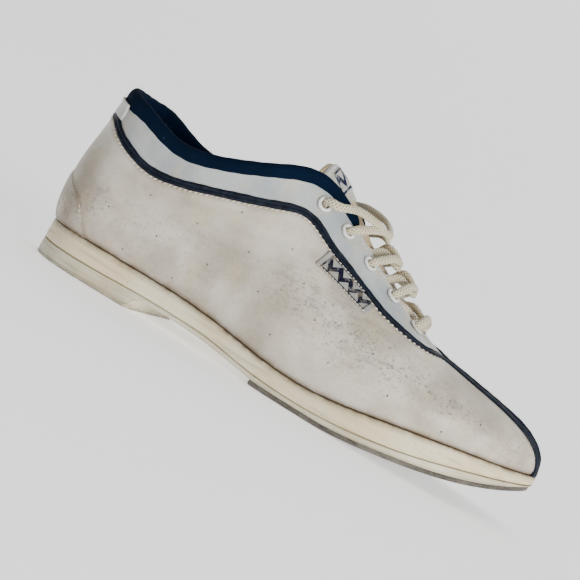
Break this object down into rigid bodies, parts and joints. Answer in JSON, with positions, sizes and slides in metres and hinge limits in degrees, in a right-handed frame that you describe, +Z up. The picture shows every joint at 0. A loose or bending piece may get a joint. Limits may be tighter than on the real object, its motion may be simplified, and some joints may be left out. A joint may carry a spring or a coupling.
{
  "type": "bowling shoe",
  "caption": "Worn white leather bowling shoe for the right foot, laced, with navy piping and collar binding, a cream sole and a dark slide sole.",
  "frame": {"origin": "middle of the bounding box, on the floor that the heel and the forefoot rest on", "axes": "+X to the toe, +Y to the inner (medial) side of the foot, +Z up"},
  "size_m": [0.2887, 0.1028, 0.1175],
  "materials": {
    "white_leather": "worn smooth",
    "navy_binding": "woven",
    "cream_rubber": "matte, yellowed",
    "pale_rubber": "matte",
    "slide_suede": "suede",
    "insole_cloth": "worn",
    "tongue_cloth": "woven",
    "eyelet_enamel": "enamel",
    "lace_cotton": "braided"
  },
  "bodies": {
    "root": {"upper": "white_leather", "collar_roll": "navy_binding", "midsole": "cream_rubber", "outsole": "pale_rubber", "slide_sole": "slide_suede", "insole": "insole_cloth", "tongue": "tongue_cloth", "eyelet_lateral_1": "eyelet_enamel", "eyelet_lateral_2": "eyelet_enamel", "eyelet_lateral_3": "eyelet_enamel", "eyelet_lateral_4": "eyelet_enamel", "eyelet_lateral_5": "eyelet_enamel", "eyelet_medial_1": "eyelet_enamel", "eyelet_medial_2": "eyelet_enamel", "eyelet_medial_3": "eyelet_enamel", "eyelet_medial_4": "eyelet_enamel", "eyelet_medial_5": "eyelet_enamel", "lace_cross_1": "lace_cotton", "lace_cross_2": "lace_cotton", "lace_cross_3": "lace_cotton", "lace_cross_4": "lace_cotton", "lace_bar": "lace_cotton"}
  },
  "joints": []
}
